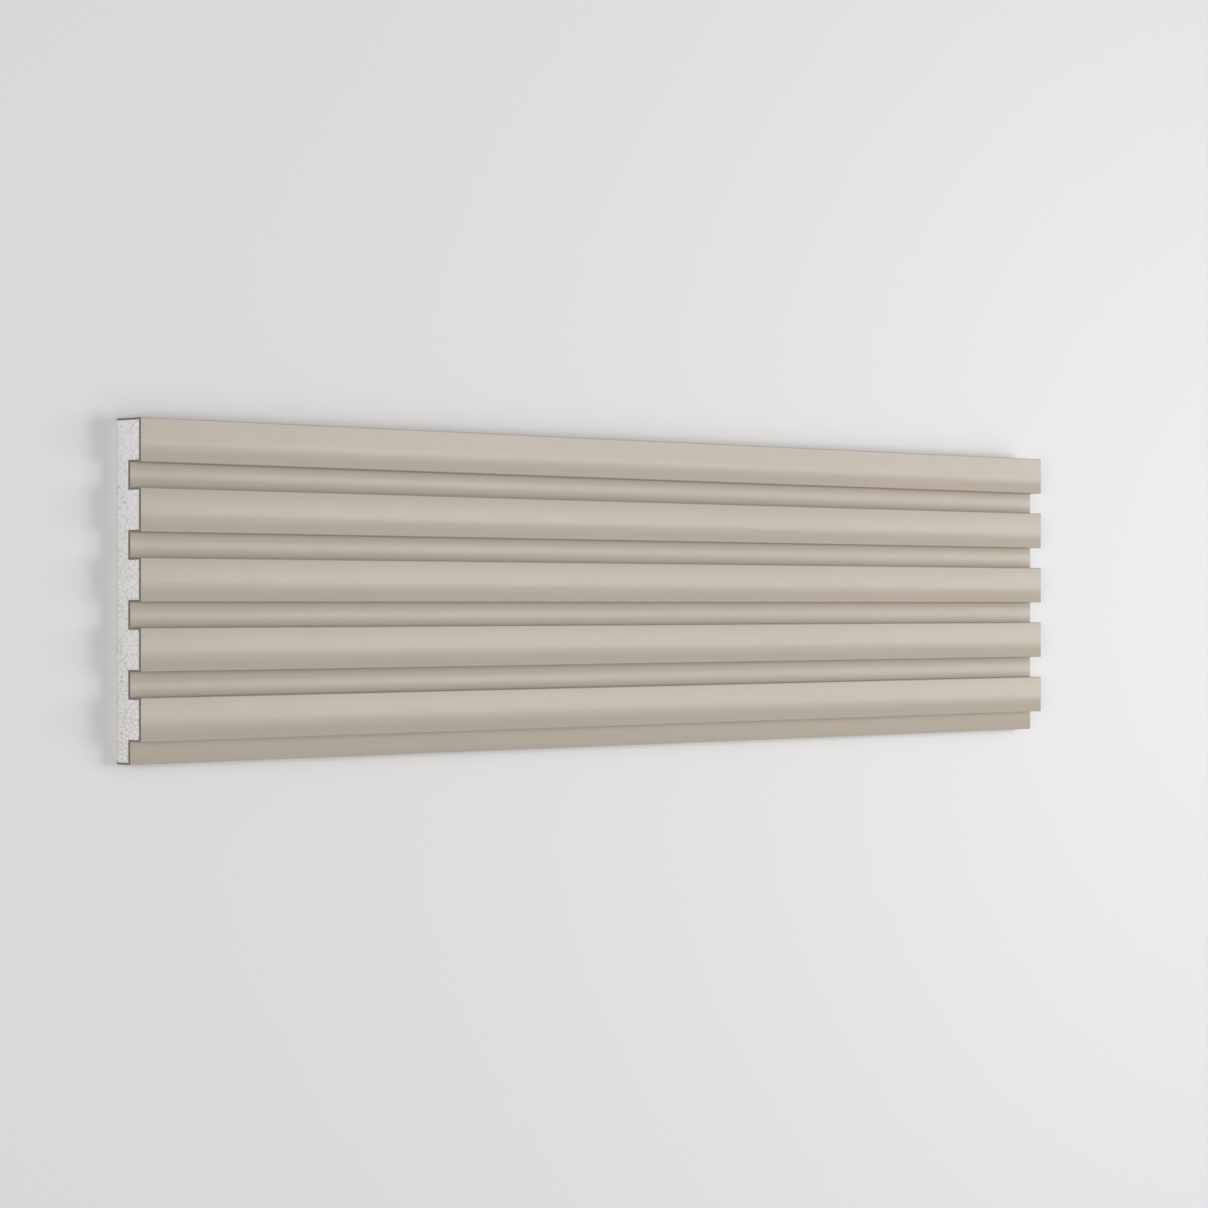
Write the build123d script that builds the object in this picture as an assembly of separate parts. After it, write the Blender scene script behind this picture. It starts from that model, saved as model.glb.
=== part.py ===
from build123d import *
import os

# Grooved wall panel: a slab of expanded polystyrene foam cut to square ribs and grooves, under a hard
# mineral coat that covers the face and both long edges. The back and the two sawn ends are bare foam.
# The panel lies on its back. X runs along the ribs, Y across them with the plain lip at -Y, and Z
# points out of the face. The origin is the middle of the back. Sizes are in millimetres.

LENGTH = 1000.0  # along the ribs, from sawn end to sawn end
RIB_COUNT = 5
RIB_WIDTH = 30.6  # over the coat
GROOVE_WIDTH = 17.75  # between the coats of two neighbouring ribs
LIP_WIDTH = 16.0  # open half groove beside the last rib, where the next panel butts
THICKNESS = 27.0  # from the back to the coated rib face
GROOVE_DEPTH = 12.0  # from the rib face to the groove floor
FACE_COAT = 2.4  # coat on the rib faces, the groove floors and the lip
SIDE_COAT = 1.4  # coat on the flanks of the ribs and on the two long edges
ARRIS_RADIUS = 0.8  # rounding of the coat on its outer corners
COVE_RADIUS = 0.5  # rounding of the coat where a flank meets a groove floor

width = RIB_COUNT * RIB_WIDTH + (RIB_COUNT - 1) * GROOVE_WIDTH + LIP_WIDTH
floor_height = THICKNESS - GROOVE_DEPTH
first_rib = (width - RIB_WIDTH) / 2
rib_pitch = RIB_WIDTH + GROOVE_WIDTH


def rib_section(side_coat, face_coat):
    """The slab with its ribs as a flat section, set back from the finished faces by the given coats."""
    slab_height = floor_height - face_coat
    rib_height = THICKNESS - face_coat
    section = Pos(0, slab_height / 2) * Rectangle(width - 2 * side_coat, slab_height)
    for i in range(RIB_COUNT):
        centre = first_rib - i * rib_pitch
        section += Pos(centre, rib_height / 2) * Rectangle(RIB_WIDTH - 2 * side_coat, rib_height)
    return section


def rounded(section):
    """The section with coves along the groove floors and rounded arrises on the ribs and the lip."""
    floor_corners = section.vertices().group_by(Axis.Y)[1].sort_by(Axis.X)
    section = fillet(floor_corners[1:], COVE_RADIUS)
    levels = section.vertices().group_by(Axis.Y)
    lip_corner = levels[1].sort_by(Axis.X)[0]
    return fillet(levels[-1] + [lip_corner], ARRIS_RADIUS)


def along_ribs(section):
    """The section drawn out to the full length, half to each side of the origin."""
    return extrude(Plane.YZ * section, LENGTH / 2, both=True)


bare = rib_section(SIDE_COAT, FACE_COAT)
foam_core = along_ribs(bare)
mineral_coat = along_ribs(rounded(rib_section(0, 0)) - bare)

os.makedirs("parts", exist_ok=True)
export_step(foam_core, "parts/foam_core.step")
export_step(mineral_coat, "parts/mineral_coat.step")
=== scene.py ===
import math

import bpy
import numpy as np
from mathutils import Matrix, Vector, kdtree


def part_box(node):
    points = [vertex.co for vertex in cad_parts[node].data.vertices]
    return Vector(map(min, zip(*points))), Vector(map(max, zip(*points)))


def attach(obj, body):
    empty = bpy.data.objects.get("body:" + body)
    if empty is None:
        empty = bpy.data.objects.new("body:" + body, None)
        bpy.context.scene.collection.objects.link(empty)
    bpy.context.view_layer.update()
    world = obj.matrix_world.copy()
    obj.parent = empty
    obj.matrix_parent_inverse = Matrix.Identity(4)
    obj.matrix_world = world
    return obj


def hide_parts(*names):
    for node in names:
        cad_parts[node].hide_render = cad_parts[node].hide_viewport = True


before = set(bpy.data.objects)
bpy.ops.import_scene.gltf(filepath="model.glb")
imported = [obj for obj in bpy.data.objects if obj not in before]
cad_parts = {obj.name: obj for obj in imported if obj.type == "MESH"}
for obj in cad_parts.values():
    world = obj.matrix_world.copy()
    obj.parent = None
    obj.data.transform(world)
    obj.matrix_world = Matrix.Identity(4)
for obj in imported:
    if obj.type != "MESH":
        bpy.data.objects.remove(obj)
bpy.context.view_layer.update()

# The looks of a grooved polystyrene wall panel: a drawn mineral coat over a sawn bead-foam core.
# The panel lies on its back, X along the ribs, Y across them with the lip at -Y, Z out of the face.
# Lengths are in metres unless a comment says otherwise.

MM = 0.001
SAME_PLACE = 0.1 * MM  # places closer than this count as one
DIGITS = 6  # decimals of a metre that are kept of a corner's place
QUARTER = math.pi / 2

# Section of the coat
ARRIS_RADIUS = 0.8 * MM
COVE_RADIUS = 0.5 * MM
ARC_STEPS = 6  # points along a rounded corner
FACE_STEPS = 24  # strips across a rib face, a groove floor or the lip
FLANK_STEPS = 3

# Lean of the shading towards +Y, which makes the ribs look softly rounded and the grooves hollow
RIB_LEAN_HIGH = math.radians(8.5)  # at the +Y edge of a rib face, apart from the first rib's
RIB_CREST = 0.43  # share of the rib face, from its +Y edge, where it leans neither way
RIB_FOOT = 0.88  # share of it where the full lean to -Y is reached
RIB_LEAN_LOW = math.radians(-23)
GROOVE_LEAN_HIGH = math.radians(-23)  # at the +Y side of a groove floor, away from the flank there
GROOVE_LEAN_LOW = math.radians(21)  # at its -Y side, away from the flank there
LIP_LEAN_HIGH = math.radians(-13.5)  # at the foot of the last rib
LIP_LEAN_LOW = math.radians(-24)  # at the free edge of the lip

# Relief of the sawn foam
BEAD = 3.2 * MM  # mean size of the fused beads
BEAD_JITTER = 0.42  # share of a bead by which its place varies
END_PITCH = 0.34 * MM  # spacing of the relief on the sawn ends
SEAM_WIDTH = 0.30 * MM
SEAM_DEPTH = 0.28 * MM
BEAD_STEP = 0.16 * MM  # how far whole beads stand back from the cut
FOAM_SEED = 11

# Colours
COAT_FACE = (0.472, 0.415, 0.340)
COAT_CUT = (0.213, 0.192, 0.164)
FOAM_WHITE = (0.832, 0.833, 0.832)
FOAM_SEAM = (0.620, 0.530, 0.410)
FLOOR_PALE = (0.80, 0.80, 0.80)

# Size of the lumps in each noise
COAT_CLOUD = 180 * MM
COAT_PATCH = 22 * MM
COAT_GRAIN = 1.1 * MM
DRAW_MARK = 2.2 * MM
DRAW_STRETCH = (0.012, 1.0, 1.0)  # draws the marks out along the ribs
ARRIS_WEAR = 9 * MM
CUT_SAND = 0.55 * MM
CUT_LUMP = 1.6 * MM
FOAM_CELL = 0.35 * MM
FLECK = 1.8 * MM  # stretches of seam that show on the sawn ends
SEAM_PATCH = 11 * MM  # patches of stronger seams on the back

# Depth of the fine relief
GRAIN_DEPTH = 0.12 * MM
DRAW_DEPTH = 0.10 * MM
SAND_DEPTH = 0.12 * MM
CELL_DEPTH = 0.06 * MM
BACK_BEAD_DEPTH = 0.25 * MM

# Ranges, from low to high
NOISE_SPAN = (0.3, 0.7)  # most of a noise lies in it
FULL_SPAN = (0.0, 1.0)
COAT_ROUGHNESS = (0.365, 0.395)
CUT_ROUGHNESS = (0.82, 0.94)
FOAM_ROUGHNESS = (0.62, 0.78)
WEAR_SPAN = (0.45, 0.7)  # of the noise, from a whole arris to a rubbed one
WEAR_SHARE = (0.0, 0.55)  # of the paler colour on an arris
FLECK_SPAN = (0.44, 0.58)  # of the noise, from no fleck to a full one
FLECK_SHIFT = (0.04, -0.075)  # of the noise from the lip to the first rib, so that flecks thin out
SEAM_PATCH_SPAN = (0.35, 0.65)  # of the noise, from faint seams on the back to strong ones
SEAM_SHARE = (0.35, 1.0)  # of the tan colour in those seams
BACK_SEAM = 0.14  # of a bead, from its edge to where the seam's colour ends
BACK_ROUND = 0.2  # of a bead, from its edge to where it is flat
BEAD_LIFT = 0.5  # of the depth of the rounding, by which whole beads differ

# Floor, light and camera
FLOOR_HALF = 12.0
FLOOR_DROP = 0.2 * MM  # below the back of the panel
FLOOR_ROUGHNESS = 0.9
FLOOR_GLOSS = 0.2
ROOM_LEVEL = 0.34  # of the white light from all round
SENSOR = 36.0  # in millimetres, as is the lens
LENS = 105.07
CAMERA_PLACE = (-1.991, -0.0087, 1.9688)

# What the frame gives
core_low, core_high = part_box("foam_core")
coat_low, coat_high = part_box("mineral_coat")
side_coat = coat_high.y - core_high.y
face_coat = coat_high.z - core_high.z
corners = np.array([v.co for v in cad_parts["foam_core"].data.vertices])
levels = np.unique(corners[:, 2].round(DIGITS))
core_floor = float(levels[1])
core_edges = np.unique(corners[corners[:, 2] > core_high.z - SAME_PLACE, 1].round(DIGITS))
core_ribs = [(float(a), float(b)) for a, b in zip(core_edges[::2], core_edges[1::2])]
floor_height = core_floor + face_coat
rib_height = coat_high.z


def make_piece(name, points, faces, node):
    """A mesh piece that stands for a node of the frame."""
    mesh = bpy.data.meshes.new(name)
    mesh.from_pydata(points, [], faces)
    mesh.update()
    piece = bpy.data.objects.new(name, mesh)
    bpy.context.scene.collection.objects.link(piece)
    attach(piece, "root")
    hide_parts(node)
    return piece


def add_attribute(mesh, name, values):
    """Gives each point of a mesh a number, which its material can read."""
    attribute = mesh.attributes.new(name, "FLOAT", "POINT")
    attribute.data.foreach_set("value", values)


# Coat section: points (y, z), the lean of the shading towards +Y, and how much of an arris each is

def even(start, end, steps):
    """Evenly spaced values, without the last one."""
    return np.linspace(start, end, steps, endpoint=False)


def rib_leans(lean_high):
    """The shading across a rib face: up to its crest, then over it and down to a steady lean."""
    share = even(0, 1, FACE_STEPS)
    fall = np.clip((share - RIB_CREST) / (RIB_FOOT - RIB_CREST), 0, 1)
    rise = lean_high * (1 - share / RIB_CREST)
    return np.where(share < RIB_CREST, rise, RIB_LEAN_LOW * fall ** 2 * (3 - 2 * fall))


def straight(start, end, leans):
    """Points along a flat part of the section, one for each lean, without its last one."""
    steps = len(leans)
    return list(zip(even(start[0], end[0], steps), even(start[1], end[1], steps), leans, np.zeros(steps)))


def arc(centre, radius, turns, leans, worn=0.0):
    """Points round a corner, without its last one. A turn of 0 is +Z and a quarter turn is +Y."""
    turn = even(*turns, ARC_STEPS)
    ys = centre[0] + radius * np.sin(turn)
    zs = centre[1] + radius * np.cos(turn)
    return list(zip(ys, zs, even(*leans, ARC_STEPS), np.full(ARC_STEPS, worn)))


def flank(y, start, end, lean):
    """Points along an upright side of the section, without its last one."""
    return straight((y, start), (y, end), np.full(FLANK_STEPS, lean))


def rib_outline(low, high, foot, lean_high):
    """A rib, from the foot of its +Y flank over its face to the foot of its -Y flank."""
    shoulder = rib_height - ARRIS_RADIUS
    start = high - ARRIS_RADIUS
    end = low + ARRIS_RADIUS
    outline = flank(high, foot, shoulder, QUARTER)
    outline += arc((start, shoulder), ARRIS_RADIUS, (QUARTER, 0), (QUARTER, lean_high), worn=1.0)
    outline += straight((start, rib_height), (end, rib_height), rib_leans(lean_high))
    outline += arc((end, shoulder), ARRIS_RADIUS, (0, -QUARTER), (RIB_LEAN_LOW, -QUARTER), worn=1.0)
    outline += flank(low, shoulder, floor_height + COVE_RADIUS, -QUARTER)
    return outline


def groove_outline(high, low):
    """A groove floor with its coves, between the rib at its +Y side and the rib at its -Y side."""
    leans = even(GROOVE_LEAN_HIGH, GROOVE_LEAN_LOW, FACE_STEPS)
    height = floor_height + COVE_RADIUS
    start = high - COVE_RADIUS
    end = low + COVE_RADIUS
    outline = arc((start, height), COVE_RADIUS, (QUARTER, 2 * QUARTER), (-QUARTER, GROOVE_LEAN_HIGH))
    outline += straight((start, floor_height), (end, floor_height), leans)
    outline += arc((end, height), COVE_RADIUS, (2 * QUARTER, 3 * QUARTER), (GROOVE_LEAN_LOW, QUARTER))
    return outline


def lip_outline(high):
    """The lip, from the cove at the last rib over its free edge to the back."""
    shoulder = floor_height - ARRIS_RADIUS
    start = high - COVE_RADIUS
    end = coat_low.y + ARRIS_RADIUS
    leans = even(LIP_LEAN_HIGH, LIP_LEAN_LOW, FACE_STEPS)
    cove = (start, floor_height + COVE_RADIUS)
    outline = arc(cove, COVE_RADIUS, (QUARTER, 2 * QUARTER), (-QUARTER, LIP_LEAN_HIGH))
    outline += straight((start, floor_height), (end, floor_height), leans)
    outline += arc((end, shoulder), ARRIS_RADIUS, (0, -QUARTER), (LIP_LEAN_LOW, -QUARTER), worn=1.0)
    outline += flank(coat_low.y, shoulder, 0.0, -QUARTER)
    outline.append((coat_low.y, 0.0, -QUARTER, 0.0))
    return outline


def coat_outline():
    """The outer side of the coat's section, from the back of the top edge to the back of the lip edge."""
    ribs = [(low - side_coat, high + side_coat) for low, high in reversed(core_ribs)]
    outline = rib_outline(*ribs[0], foot=0.0, lean_high=0.0)
    for (above, _), (low, high) in zip(ribs, ribs[1:]):
        outline += groove_outline(above, high)
        outline += rib_outline(low, high, floor_height + COVE_RADIUS, RIB_LEAN_HIGH)
    outline += lip_outline(ribs[-1][0])
    return np.array(outline)


def core_outline():
    """The foam's side of the coat, from the back of the lip edge to the back of the top edge."""
    outline = [(core_low.y, 0.0), (core_low.y, core_floor)]
    for low, high in core_ribs:
        outline += [(low, core_floor), (low, core_high.z), (high, core_high.z)]
        if high < core_high.y - SAME_PLACE:
            outline.append((high, core_floor))
    outline.append((core_high.y, 0.0))
    return np.array(outline)


def make_coat():
    """The coat as one closed shell, with softly rolling faces and flat cut ends."""
    outer = coat_outline()
    ring = np.vstack([outer[:, :2], core_outline()])
    n = len(ring)
    points = [(x, y, z) for x in (coat_low.x, coat_high.x) for y, z in ring]
    faces = []
    for i in range(n):
        j = (i + 1) % n
        faces.append((i, j, n + j, n + i))
    faces.append(tuple(reversed(range(n))))
    faces.append(tuple(range(n, 2 * n)))
    coat = make_piece("panel_coat", points, faces, "mineral_coat")
    worn = np.zeros((2, n))
    worn[:, :len(outer)] = outer[:, 3]
    add_attribute(coat.data, "arris", worn.ravel())
    shade_coat(coat.data, n, outer[:, 2])
    coat.data.materials.append(coat_face_material())
    coat.data.materials.append(coat_cut_material())


def shade_coat(mesh, n, lean):
    """Gives the outer faces their leaning normals, and the two cut ends, which come last, their material."""
    normals = np.zeros((len(mesh.loops), 3))
    for polygon in mesh.polygons:
        outside = polygon.index < len(lean) - 1
        polygon.use_smooth = outside
        polygon.material_index = 1 if polygon.index >= n else 0
        if outside:
            for loop in polygon.loop_indices:
                k = mesh.loops[loop].vertex_index % n
                normals[loop] = (0.0, math.sin(lean[k]), math.cos(lean[k]))
    mesh.normals_split_custom_set(normals.tolist())


# Foam, whose sawn ends are grids of small squares

def grid_lines(breaks, pitch):
    """Evenly spaced lines that also pass through every break."""
    lines = []
    for low, high in zip(breaks, breaks[1:]):
        steps = max(1, round((high - low) / pitch))
        lines += list(even(low, high, steps))
    return np.array(lines + [breaks[-1]])


def end_grid():
    """The grid's lines across and up a sawn end, and which of its squares are foam."""
    ys = grid_lines([core_low.y, *core_edges[:-1], core_high.y], END_PITCH)
    zs = grid_lines([0.0, core_floor, core_high.z], END_PITCH)
    mid_y = (ys[1:] + ys[:-1]) / 2
    mid_z = (zs[1:] + zs[:-1]) / 2
    in_rib = np.zeros(len(mid_y), bool)
    for low, high in core_ribs:
        in_rib |= (mid_y > low) & (mid_y < high)
    filled = in_rib[:, None] | (mid_z < core_floor)[None, :]
    return ys, zs, filled


def corner_numbers(filled):
    """A running number for each grid corner that a filled square touches, and -1 for the others."""
    wide, tall = filled.shape
    used = np.zeros((wide + 1, tall + 1), bool)
    for dy in (0, 1):
        for dz in (0, 1):
            used[dy:wide + dy, dz:tall + dz] |= filled
    numbers = np.full(used.shape, -1)
    numbers[used] = np.arange(used.sum())
    return numbers


def bead_seams(points, rng):
    """For each point, its distance to the seam of its bead, and that bead's own tone from 0 to 1."""
    low = points.min(0) - 2 * BEAD
    counts = np.ceil((points.max(0) + 2 * BEAD - low) / BEAD).astype(int)
    cells = np.stack(np.meshgrid(*[np.arange(c) for c in counts], indexing="ij"), -1).reshape(-1, 3)
    staggered = cells + 0.5 * (cells[:, [2, 0, 1]] % 2)
    seeds = low + (staggered + rng.uniform(-BEAD_JITTER, BEAD_JITTER, cells.shape)) * BEAD
    tones = rng.uniform(size=len(seeds))
    tree = kdtree.KDTree(len(seeds))
    for i, seed in enumerate(seeds):
        tree.insert(seed, i)
    tree.balance()
    gaps = np.empty(len(points))
    tone = np.empty(len(points))
    for i, point in enumerate(points):
        (_, a, near), (_, b, far) = tree.find_n(point, 2)
        gaps[i] = (far ** 2 - near ** 2) / (2 * np.linalg.norm(seeds[a] - seeds[b]))
        tone[i] = tones[a]
    return gaps, tone


def foam_ends(ys, zs):
    """The points of both sawn ends in relief, how much of a seam each is, and its bead's tone."""
    rng = np.random.default_rng(FOAM_SEED)
    points = []
    seams = []
    tones = []
    for x, inward in ((core_low.x, 1), (core_high.x, -1)):
        end = np.stack([np.full(len(ys), x), ys, zs], 1)
        gaps, tone = bead_seams(end, rng)
        seam = np.exp(-(gaps / SEAM_WIDTH) ** 2)
        end[:, 0] += inward * (SEAM_DEPTH * seam + BEAD_STEP * tone)
        points.append(end)
        seams.append(seam)
        tones.append(tone)
    return np.vstack(points), np.concatenate(seams), np.concatenate(tones)


def foam_faces(filled, numbers, n):
    """The squares of both ends, and the long sides that join the ends' outlines."""
    ends = []
    sides = []
    around = np.pad(filled, 1)
    for j, k in zip(*np.nonzero(filled)):
        a, d = numbers[j, k:k + 2].tolist()
        b, c = numbers[j + 1, k:k + 2].tolist()
        ends.append((a, d, c, b))
        ends.append((n + a, n + b, n + c, n + d))
        neighbours = (
            (around[j + 1, k], a, b),
            (around[j + 2, k + 1], b, c),
            (around[j + 1, k + 2], c, d),
            (around[j, k + 1], d, a),
        )
        for neighbour, p, q in neighbours:
            if not neighbour:
                sides.append((p, q, n + q, n + p))
    return ends, sides


def make_foam():
    """The foam as one closed body, with the fused beads in relief on its two sawn ends."""
    ys, zs, filled = end_grid()
    numbers = corner_numbers(filled)
    iy, iz = np.nonzero(numbers >= 0)
    points, seams, tones = foam_ends(ys[iy], zs[iz])
    ends, sides = foam_faces(filled, numbers, len(iy))
    foam = make_piece("panel_foam", points.tolist(), ends + sides, "foam_core")
    mesh = foam.data
    sawn = np.arange(len(mesh.polygons)) < len(ends)
    mesh.polygons.foreach_set("use_smooth", sawn)
    mesh.polygons.foreach_set("material_index", (~sawn).astype(np.int32))
    add_attribute(mesh, "seam", seams)
    add_attribute(mesh, "bead_tone", tones)
    mesh.materials.append(foam_end_material())
    mesh.materials.append(foam_back_material())


# Materials

class Nodes:
    """A material's node tree, with short ways to add and join nodes."""

    def __init__(self, name):
        self.material = bpy.data.materials.new(name)
        self.material.use_nodes = True
        self.tree = self.material.node_tree
        self.shader = self.tree.nodes["Principled BSDF"]

    def add(self, kind, **settings):
        node = self.tree.nodes.new(kind)
        for key, value in settings.items():
            setattr(node, key, value)
        return node

    def put(self, value, socket):
        """Sets a socket to a number or colour, or joins an output to it."""
        if isinstance(value, bpy.types.NodeSocket):
            self.tree.links.new(value, socket)
        else:
            socket.default_value = value

    def shade(self, socket, value):
        self.put(value, self.shader.inputs[socket])

    def position(self, stretch=(1.0, 1.0, 1.0)):
        coordinates = self.add("ShaderNodeTexCoord")
        scale = self.add("ShaderNodeMapping")
        self.put(coordinates.outputs["Object"], scale.inputs["Vector"])
        scale.inputs["Scale"].default_value = stretch
        return scale.outputs["Vector"]

    def across(self):
        """The place across the ribs, in metres."""
        parts = self.add("ShaderNodeSeparateXYZ")
        self.put(self.position(), parts.inputs["Vector"])
        return parts.outputs["Y"]

    def noise(self, size, detail=2.0, roughness=0.5, stretch=(1.0, 1.0, 1.0)):
        """Noise from 0 to 1 whose lumps are about the given size."""
        node = self.add("ShaderNodeTexNoise")
        self.put(self.position(stretch), node.inputs["Vector"])
        node.inputs["Scale"].default_value = 1.0 / size
        node.inputs["Detail"].default_value = detail
        node.inputs["Roughness"].default_value = roughness
        return node.outputs["Fac"]

    def cells(self, size, feature, output):
        """Packed cells of about the given size."""
        node = self.add("ShaderNodeTexVoronoi", feature=feature)
        self.put(self.position(), node.inputs["Vector"])
        node.inputs["Scale"].default_value = 1.0 / size
        return node.outputs[output]

    def cell_values(self, size):
        """Random values of packed cells, as the outputs Red, Green and Blue."""
        parts = self.add("ShaderNodeSeparateColor")
        self.put(self.cells(size, "F1", "Color"), parts.inputs["Color"])
        return parts.outputs

    def attribute(self, name):
        return self.add("ShaderNodeAttribute", attribute_name=name).outputs["Fac"]

    def math(self, operation, a, b):
        node = self.add("ShaderNodeMath", operation=operation)
        self.put(a, node.inputs[0])
        self.put(b, node.inputs[1])
        return node.outputs[0]

    def spread(self, value, low, high, out_low, out_high):
        """Brings a value's range from low to high to another range."""
        node = self.add("ShaderNodeMapRange")
        self.put(value, node.inputs["Value"])
        node.inputs["From Min"].default_value = low
        node.inputs["From Max"].default_value = high
        node.inputs["To Min"].default_value = out_low
        node.inputs["To Max"].default_value = out_high
        return node.outputs["Result"]

    def mix(self, share, a, b):
        node = self.add("ShaderNodeMix", data_type="RGBA")
        self.put(share, node.inputs["Factor"])
        self.put(a, node.inputs["A"])
        self.put(b, node.inputs["B"])
        return node.outputs["Result"]

    def layer(self, under, over, where, most=1.0, span=NOISE_SPAN):
        """Lays a colour over another, from none of it at the span's low end to the most at its high end."""
        return self.mix(self.spread(where, *span, 0.0, most), under, over)

    def bump(self, height, depth, strength, under=None):
        node = self.add("ShaderNodeBump")
        self.put(height, node.inputs["Height"])
        node.inputs["Distance"].default_value = depth
        node.inputs["Strength"].default_value = strength
        if under is not None:
            self.put(under, node.inputs["Normal"])
        return node.outputs["Normal"]


def tint(colour, factor=1.0):
    """A colour as a shader takes it, made lighter or darker."""
    return (*[min(1.0, c * factor) for c in colour], 1.0)


def coat_face_material():
    """Beige mineral coat with faint clouds, fine grain, long draw marks and worn arrises."""
    m = Nodes("coat_face")
    cloud = m.noise(COAT_CLOUD, detail=3.0)
    patch = m.noise(COAT_PATCH, detail=3.0)
    grain = m.noise(COAT_GRAIN, roughness=0.6)
    drawn = m.noise(DRAW_MARK, stretch=DRAW_STRETCH)
    colour = m.layer(tint(COAT_FACE, 0.985), tint(COAT_FACE, 1.012), cloud)
    colour = m.layer(colour, tint(COAT_FACE, 0.97), patch, most=0.30)
    colour = m.layer(colour, tint(COAT_FACE, 1.07), grain, most=0.45, span=(0.35, 0.75))
    colour = m.layer(colour, tint(COAT_FACE, 0.93), drawn, most=0.30, span=(0.4, 0.8))
    rubbed = m.spread(m.noise(ARRIS_WEAR, detail=3.0), *WEAR_SPAN, *WEAR_SHARE)
    wear = m.math("MULTIPLY", m.attribute("arris"), rubbed)
    m.shade("Base Color", m.mix(wear, colour, tint(COAT_FACE, 1.14)))
    m.shade("Roughness", m.spread(patch, *NOISE_SPAN, *COAT_ROUGHNESS))
    grainy = m.bump(grain, GRAIN_DEPTH, strength=0.55)
    m.shade("Normal", m.bump(drawn, DRAW_DEPTH, strength=0.35, under=grainy))
    return m.material


def coat_cut_material():
    """The coat's sandy inside, where it is cut through at the ends."""
    m = Nodes("coat_cut")
    sand = m.cell_values(CUT_SAND)
    lump = m.noise(CUT_LUMP)
    colour = m.layer(tint(COAT_CUT, 0.78), tint(COAT_CUT, 1.25), sand["Red"], span=FULL_SPAN)
    colour = m.layer(colour, tint(COAT_CUT, 0.9), lump, most=0.5, span=(0.35, 0.7))
    m.shade("Base Color", colour)
    m.shade("Roughness", m.spread(lump, *NOISE_SPAN, *CUT_ROUGHNESS))
    m.shade("Normal", m.bump(sand["Green"], SAND_DEPTH, strength=0.7))
    return m.material


def foam_end_material():
    """White sawn foam, with tan flecks along the beads' seams that grow denser towards the lip."""
    m = Nodes("foam_sawn_end")
    cells = m.noise(FOAM_CELL)
    bead = m.attribute("bead_tone")
    colour = m.layer(tint(FOAM_WHITE, 1.02), tint(FOAM_WHITE, 0.97), bead, most=0.55, span=FULL_SPAN)
    shift = m.spread(m.across(), core_low.y, core_high.y, *FLECK_SHIFT)
    shown = m.spread(m.math("ADD", m.noise(FLECK), shift), *FLECK_SPAN, *FULL_SPAN)
    seam = m.math("MULTIPLY", m.attribute("seam"), shown)
    m.shade("Base Color", m.mix(seam, colour, tint(FOAM_SEAM)))
    m.shade("Roughness", m.spread(cells, *NOISE_SPAN, *FOAM_ROUGHNESS))
    m.shade("Normal", m.bump(cells, CELL_DEPTH, strength=0.5))
    return m.material


def foam_back_material():
    """White cut foam on the back and under the coat, with seams that show more in some patches."""
    m = Nodes("foam_cut_back")
    cells = m.noise(FOAM_CELL)
    bead = m.cell_values(BEAD)
    edge = m.cells(BEAD, "DISTANCE_TO_EDGE", "Distance")
    colour = m.layer(tint(FOAM_WHITE, 1.03), tint(FOAM_WHITE, 0.94), bead["Red"], most=0.55, span=FULL_SPAN)
    shown = m.spread(m.noise(SEAM_PATCH), *SEAM_PATCH_SPAN, *SEAM_SHARE)
    seam = m.math("MULTIPLY", m.spread(edge, 0.0, BACK_SEAM, 1.0, 0.0), shown)
    m.shade("Base Color", m.mix(seam, colour, tint(FOAM_SEAM)))
    m.shade("Roughness", m.spread(cells, *NOISE_SPAN, *FOAM_ROUGHNESS))
    rounded = m.spread(edge, 0.0, BACK_ROUND, *FULL_SPAN)
    height = m.math("ADD", rounded, m.math("MULTIPLY", bead["Green"], BEAD_LIFT))
    beaded = m.bump(height, BACK_BEAD_DEPTH, strength=0.8)
    m.shade("Normal", m.bump(cells, CELL_DEPTH, strength=0.5, under=beaded))
    return m.material


# Floor, light and camera

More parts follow.
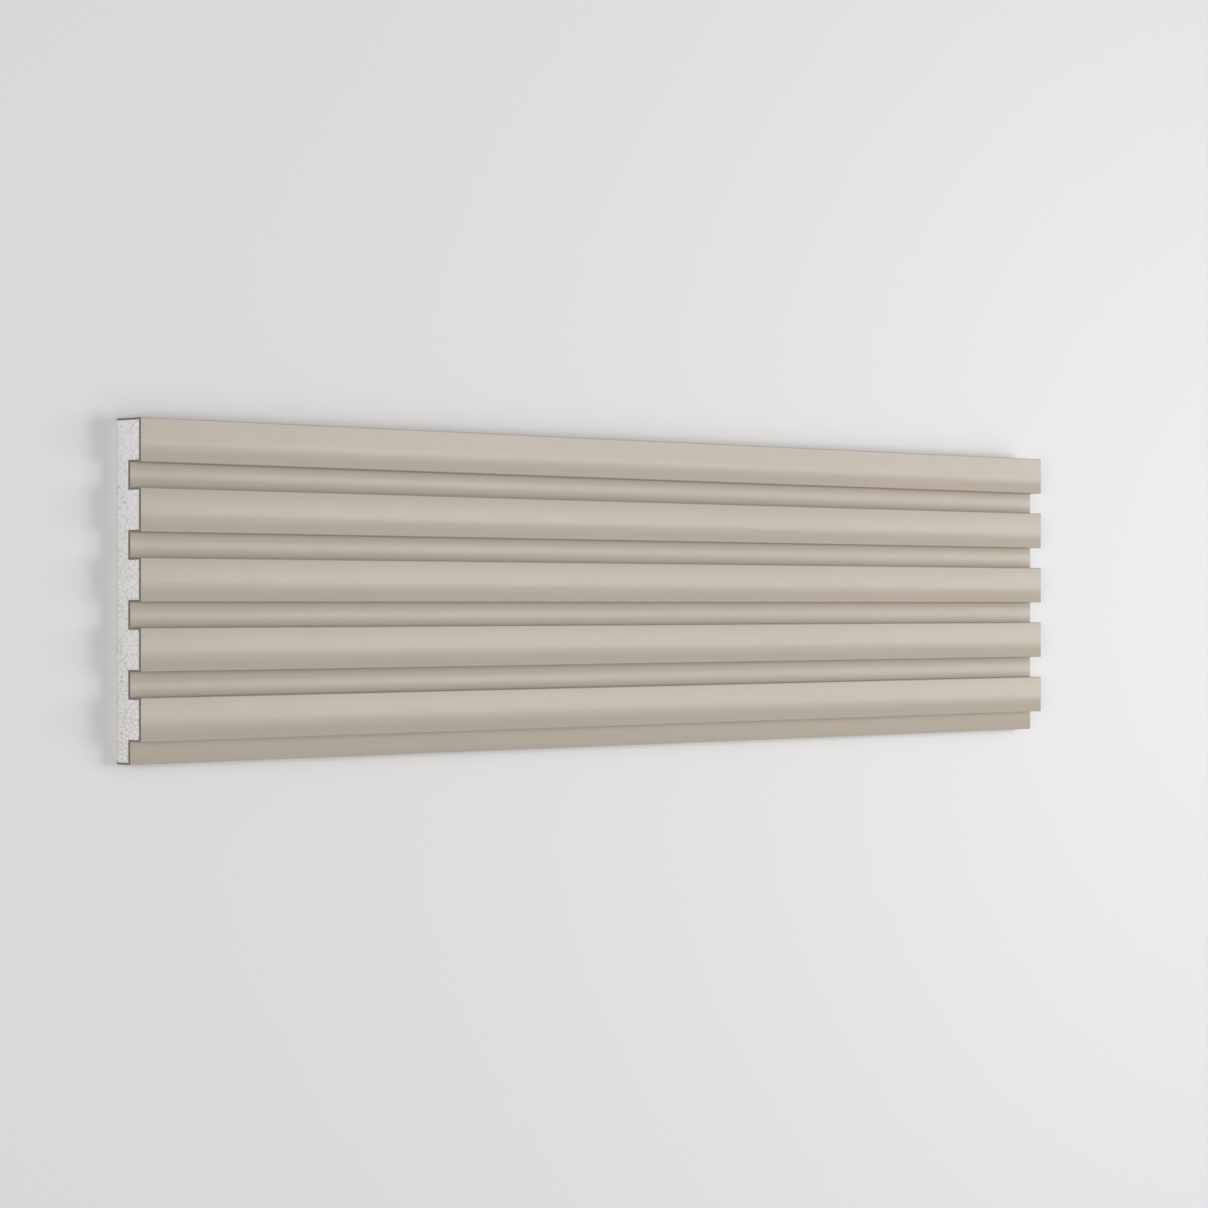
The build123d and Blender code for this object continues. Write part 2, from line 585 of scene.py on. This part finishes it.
def make_floor():
    """A plain pale floor, just below the back of the panel."""
    square = ((-1, -1), (1, -1), (1, 1), (-1, 1))
    points = [(FLOOR_HALF * x, FLOOR_HALF * y, -FLOOR_DROP) for x, y in square]
    mesh = bpy.data.meshes.new("floor")
    mesh.from_pydata(points, [], [(0, 1, 2, 3)])
    floor = bpy.data.objects.new("floor", mesh)
    bpy.context.scene.collection.objects.link(floor)
    m = Nodes("floor_pale")
    m.shade("Base Color", tint(FLOOR_PALE))
    m.shade("Roughness", FLOOR_ROUGHNESS)
    m.shade("Specular IOR Level", FLOOR_GLOSS)
    floor.data.materials.append(m.material)


def softbox(name, place, width, power):
    """A round studio lamp of the given width and power in watts, turned to the middle of the panel."""
    data = bpy.data.lights.new(name, "AREA")
    data.shape = "DISK"
    data.size = width
    data.energy = power
    lamp = bpy.data.objects.new(name, data)
    lamp.location = place
    lamp.rotation_mode = "QUATERNION"
    lamp.rotation_quaternion = (-Vector(place)).to_track_quat("-Z", "Y")
    bpy.context.scene.collection.objects.link(lamp)


def make_light():
    """Soft light from all round, four lamps beyond the far end and one beyond the near end."""
    world = bpy.data.worlds.new("soft_room")
    world.use_nodes = True
    room = world.node_tree.nodes["Background"]
    room.inputs["Color"].default_value = (1.0, 1.0, 1.0, 1.0)
    room.inputs["Strength"].default_value = ROOM_LEVEL
    bpy.context.scene.world = world
    softbox("key_near", place=(1.00, 0.0, 1.60), width=0.8, power=11.0)
    softbox("key_far", place=(3.60, 0.0, 2.00), width=1.6, power=30.0)
    softbox("wing_high", place=(3.25, 2.73, 4.24), width=2.6, power=17.5)
    softbox("wing_low", place=(3.25, -2.73, 4.24), width=2.6, power=28.5)
    softbox("front", place=(-3.28, 0.0, 2.29), width=1.6, power=51.0)


def make_camera():
    """The photograph's view: half a right angle off the face of the panel, with its ribs level."""
    data = bpy.data.cameras.new("camera")
    data.sensor_width = SENSOR
    data.lens = LENS
    camera = bpy.data.objects.new("camera", data)
    slant = math.sqrt(0.5)
    right = Vector((slant, 0.0, slant))
    up = Vector((0.0, 1.0, 0.0))
    back = right.cross(up)
    turn = Matrix((right, up, back)).transposed().to_4x4()
    camera.matrix_world = Matrix.Translation(CAMERA_PLACE) @ turn
    bpy.context.scene.collection.objects.link(camera)
    bpy.context.scene.camera = camera


make_coat()
make_foam()
make_floor()
make_light()
make_camera()
bpy.context.scene.view_settings.view_transform = "Standard"
